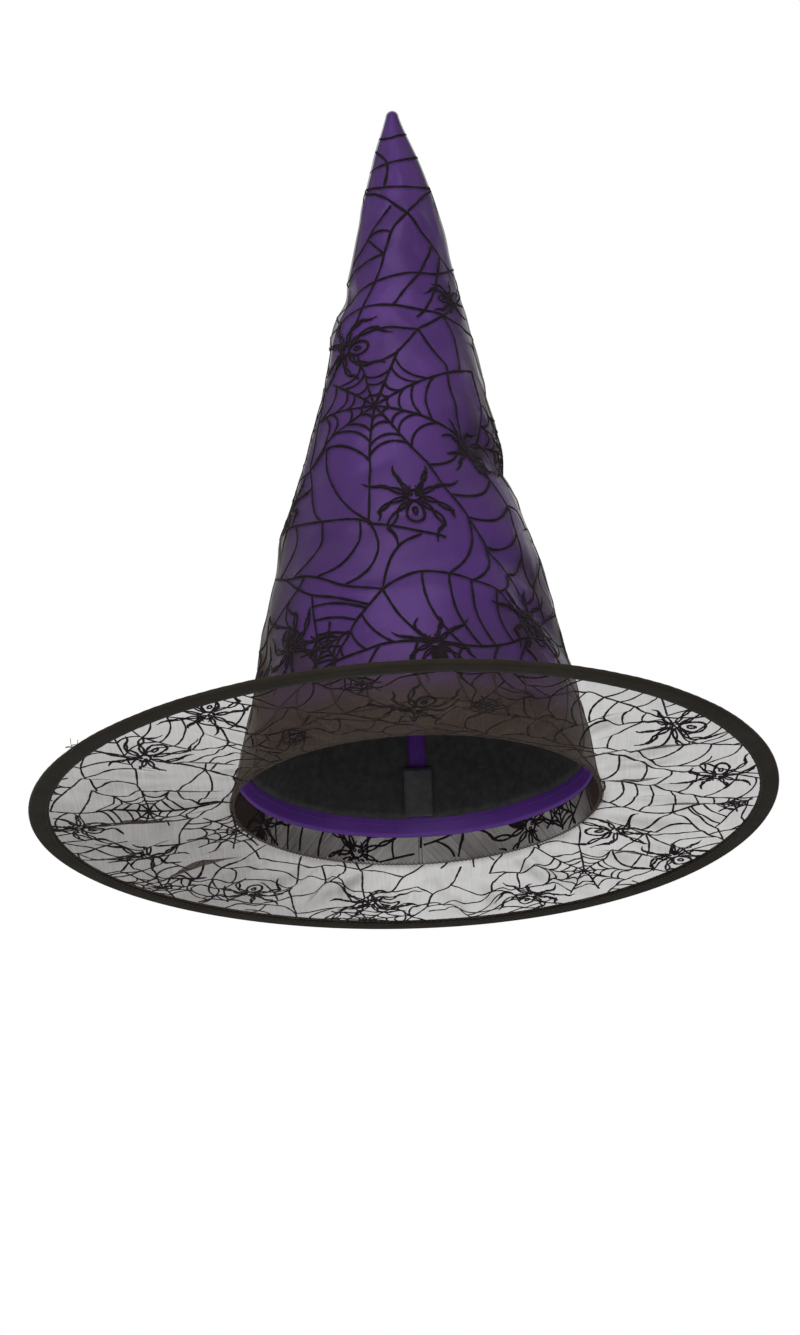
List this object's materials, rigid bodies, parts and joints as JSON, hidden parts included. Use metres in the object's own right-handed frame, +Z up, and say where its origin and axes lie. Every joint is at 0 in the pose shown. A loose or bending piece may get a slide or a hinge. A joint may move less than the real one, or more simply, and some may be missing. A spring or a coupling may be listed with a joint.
{
  "type": "witch hat",
  "caption": "Witch hat with a tall satin cone under black web-print sheer mesh and a wide see-through mesh brim edged with a wired binding.",
  "frame": {"origin": "under the middle of the brim's wire hoop, on the plane that the edge binding rests on", "axes": "+Z up along the crown towards the point, +X to the wearer's left (the viewer's right from the front), +Y towards the back seams; the front of the hat faces -Y"},
  "size_m": [0.38, 0.38, 0.398],
  "materials": {
    "purple_satin": "satin",
    "black_mesh": "matte",
    "black_binding": "matte",
    "black_thread": "satin",
    "purple_thread": "satin",
    "stiff_interlining": "matte",
    "label_ribbon": "satin",
    "spring_steel": "satin",
    "sleeve_brass": "satin"
  },
  "bodies": {
    "hat": {"satin_crown_lower": "purple_satin", "crown_mesh": "black_mesh", "brim_mesh": "black_mesh", "crown_interlining": "stiff_interlining", "edge_binding": "black_binding", "hoop_wire": "spring_steel", "wire_ferrule": "sleeve_brass", "binding_needle_thread": "black_thread", "binding_bobbin_thread": "black_thread", "brim_seam_thread": "black_thread", "mesh_seam_thread": "black_thread", "satin_hem_thread": "purple_thread", "satin_seam_thread": "purple_thread", "hem_tacks": "black_thread", "care_label": "label_ribbon", "label_thread": "purple_thread"},
    "point": {"satin_crown_tip": "purple_satin", "tip_tack": "black_thread"}
  },
  "joints": [
    {"name": "point_bend", "type": "hinge", "parent": "hat", "child": "point", "pos_m": [0.0065, 0, 0.245], "axis": [0, 1, 0], "range_deg": [-30, 30], "stiffness_Nm_per_rad": 0.25, "deforming": ["crown_mesh", "mesh_seam_thread"]}
  ]
}
